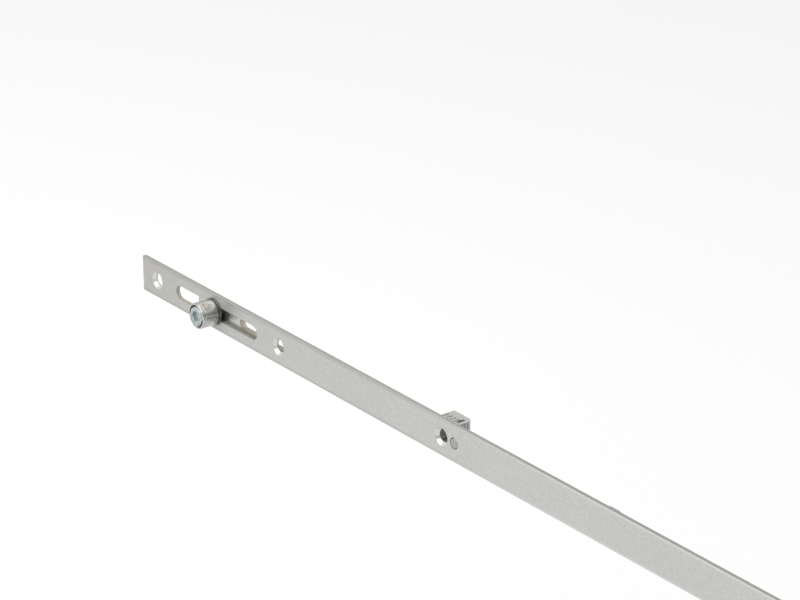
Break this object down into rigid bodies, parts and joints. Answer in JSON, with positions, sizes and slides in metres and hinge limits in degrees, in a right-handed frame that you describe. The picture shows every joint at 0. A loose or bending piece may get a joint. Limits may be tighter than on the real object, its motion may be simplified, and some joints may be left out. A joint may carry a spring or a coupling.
{
  "type": "window espagnolette",
  "caption": "Long, narrow window lock: a steel faceplate with a sliding drive rod behind it, roller cams in its slots and a gearbox turned by a square spindle.",
  "frame": {"origin": "on the front face of the faceplate, on its centre line, level with the axis of the handle's square spindle", "axes": "+X along the faceplate towards the short leg, -Y out of its front face, where the roller cams stand, +Z across its width along the spindle"},
  "size_m": [0.655, 0.0389, 0.016],
  "materials": {
    "faceplate_zinc": "satin zinc plate with a fine lengthwise grain",
    "rod_zinc": "zinc plated, slightly warm and duller than the faceplate",
    "pin_zinc": "bluish zinc plate",
    "washer_steel": "plain steel, darker than the zinc around it",
    "roller_steel": "turned and burnished, shinier than the faceplate",
    "rivet_steel": "zinc plated, satin",
    "pinion_steel": "oiled sintered steel",
    "diecast_zinc": "fine matt casting skin, light grey",
    "guide_plastic": "moulded, matt grey"
  },
  "bodies": {
    "root": {"faceplate": "faceplate_zinc", "gearbox_case_lower": "diecast_zinc", "gearbox_case_upper": "diecast_zinc", "gearbox_case_rivets": "rivet_steel", "gearbox_face_rivets": "rivet_steel", "handle_screw_bushes": "rivet_steel", "guide_block": "diecast_zinc", "guide_block_rivet": "rivet_steel", "guide_saddle_long": "guide_plastic", "guide_saddle_short": "guide_plastic"},
    "drive_rod": {"rack_slider": "rod_zinc", "drive_rod_long": "rod_zinc", "drive_rod_short": "rod_zinc", "rod_lap_rivets": "rivet_steel"},
    "follower": {"follower_pinion": "pinion_steel"},
    "cam_long": {"cam_pin_long": "pin_zinc", "cam_washer_long": "washer_steel"},
    "roller_long": {"cam_roller_long": "roller_steel"},
    "cam_short": {"cam_pin_short": "pin_zinc", "cam_washer_short": "washer_steel"},
    "roller_short": {"cam_roller_short": "roller_steel"}
  },
  "joints": [
    {"name": "rod_slide", "type": "slide", "parent": "root", "child": "drive_rod", "axis": [1, 0, 0], "range_m": [-0.018, 0.018]},
    {"name": "follower_turn", "type": "hinge", "parent": "root", "child": "follower", "pos_m": [0, 0.015, 0], "axis": [0, 0, 1], "range_deg": [-90, 90]},
    {"name": "cam_long_turn", "type": "hinge", "parent": "drive_rod", "child": "cam_long", "pos_m": [-0.4112, 0, 0], "axis": [0, 1, 0], "continuous": true},
    {"name": "roller_long_spin", "type": "hinge", "parent": "cam_long", "child": "roller_long", "pos_m": [-0.4104, 0, 0], "axis": [0, 1, 0], "continuous": true},
    {"name": "cam_short_turn", "type": "hinge", "parent": "drive_rod", "child": "cam_short", "pos_m": [0.1408, 0, 0], "axis": [0, 1, 0], "continuous": true},
    {"name": "roller_short_spin", "type": "hinge", "parent": "cam_short", "child": "roller_short", "pos_m": [0.14, 0, 0], "axis": [0, 1, 0], "continuous": true}
  ],
  "couplings": [
    {"joint": "follower_turn", "follows": "rod_slide", "rad_per_m": 87.26}
  ]
}
